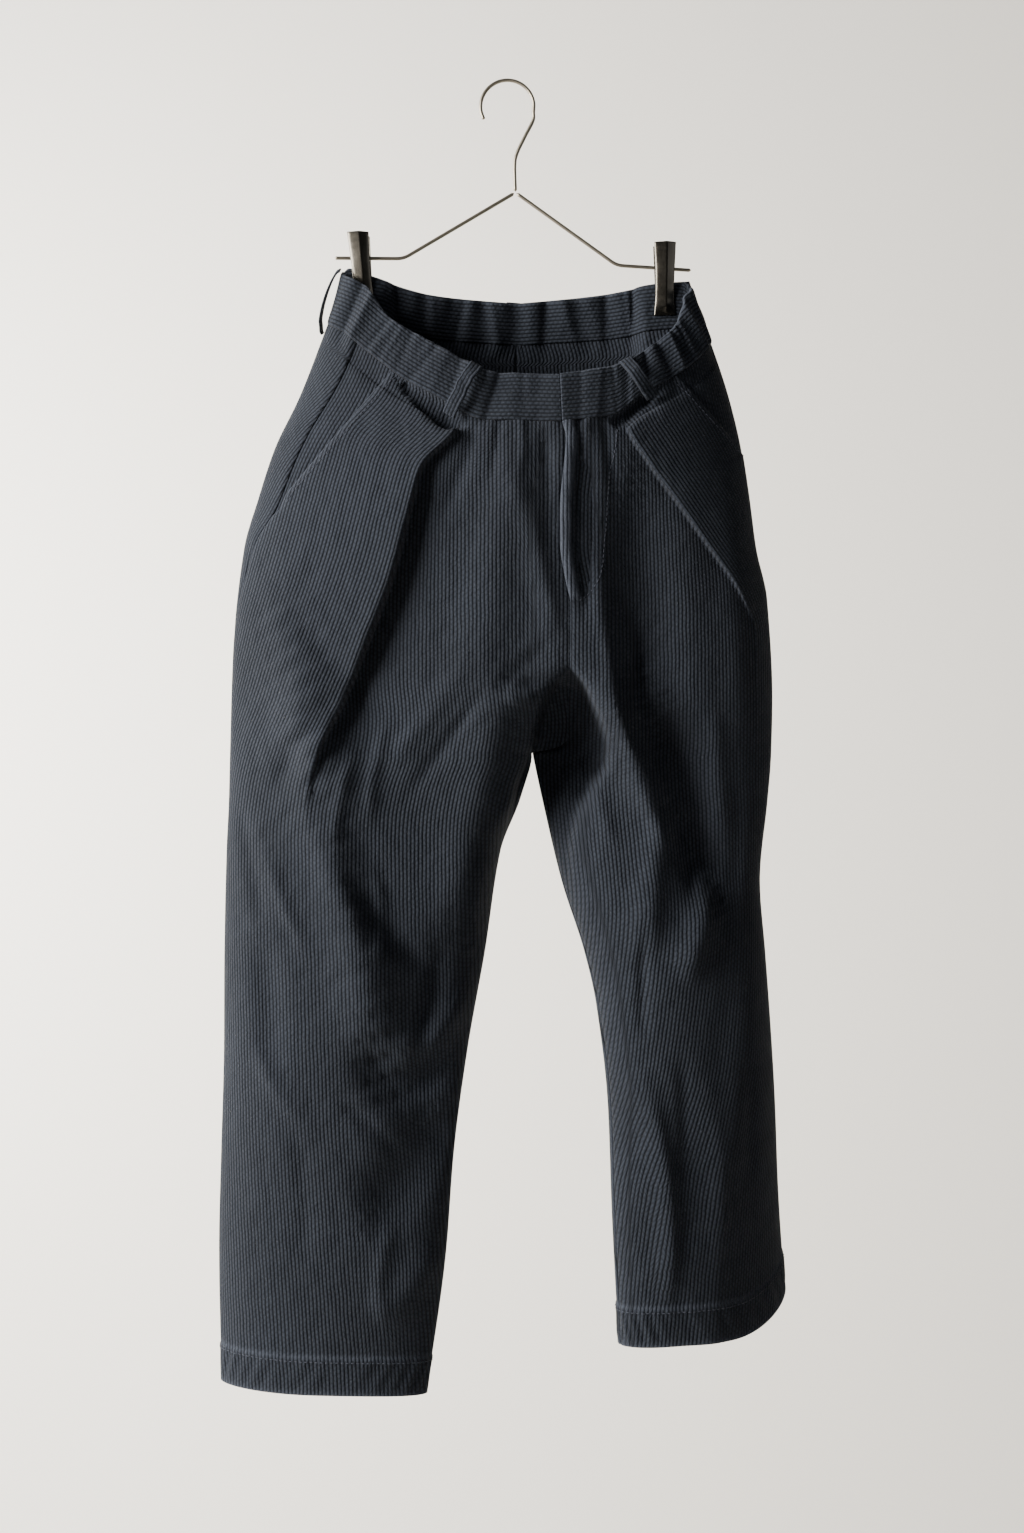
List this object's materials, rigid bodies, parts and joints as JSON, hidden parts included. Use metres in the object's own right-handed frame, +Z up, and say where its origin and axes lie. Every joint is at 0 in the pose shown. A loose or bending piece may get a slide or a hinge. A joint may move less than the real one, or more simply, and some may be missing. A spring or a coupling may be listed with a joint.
{
  "type": "sashiko trousers on a wire clip hanger",
  "caption": "Wide tapered trousers of dark ribbed sashiko cloth with a gathered waist and front pleats, hung by the back of the waistband from a wire hanger with metal clips.",
  "frame": {"origin": "top of the inside of the hanger's hook, where it rests on what holds it up", "axes": "+Z up, -Y out of the front of the trousers, +X towards the wearer's left"},
  "size_m": [0.5167, 0.1341, 1.1803],
  "materials": {
    "cloth": "matt ribbed sashiko weave, washed dark indigo grey",
    "waistband": "the same cloth with its ribs lying across, gathered on elastic",
    "belt_loops": "the same cloth folded and sewn flat",
    "wire": "dull bent steel wire",
    "clips": "pressed, plated steel"
  },
  "bodies": {
    "root": {"front_right": "cloth", "front_left": "cloth", "back_right": "cloth", "back_left": "cloth", "pocket_facing_right": "cloth", "pocket_facing_left": "cloth", "fly_facing": "cloth", "band_front_right": "waistband", "band_front_left": "waistband", "band_back": "waistband", "belt_loop_front_right": "belt_loops", "belt_loop_front_left": "belt_loops", "belt_loop_side_right": "belt_loops", "belt_loop_side_left": "belt_loops", "belt_loop_back": "belt_loops", "hanger_hook": "wire", "hanger_arm_right": "wire", "hanger_arm_left": "wire", "clip_jaw_inner_right": "clips", "clip_jaw_outer_right": "clips", "clip_spring_right": "clips", "clip_jaw_inner_left": "clips", "clip_jaw_outer_left": "clips", "clip_spring_left": "clips"}
  },
  "joints": []
}
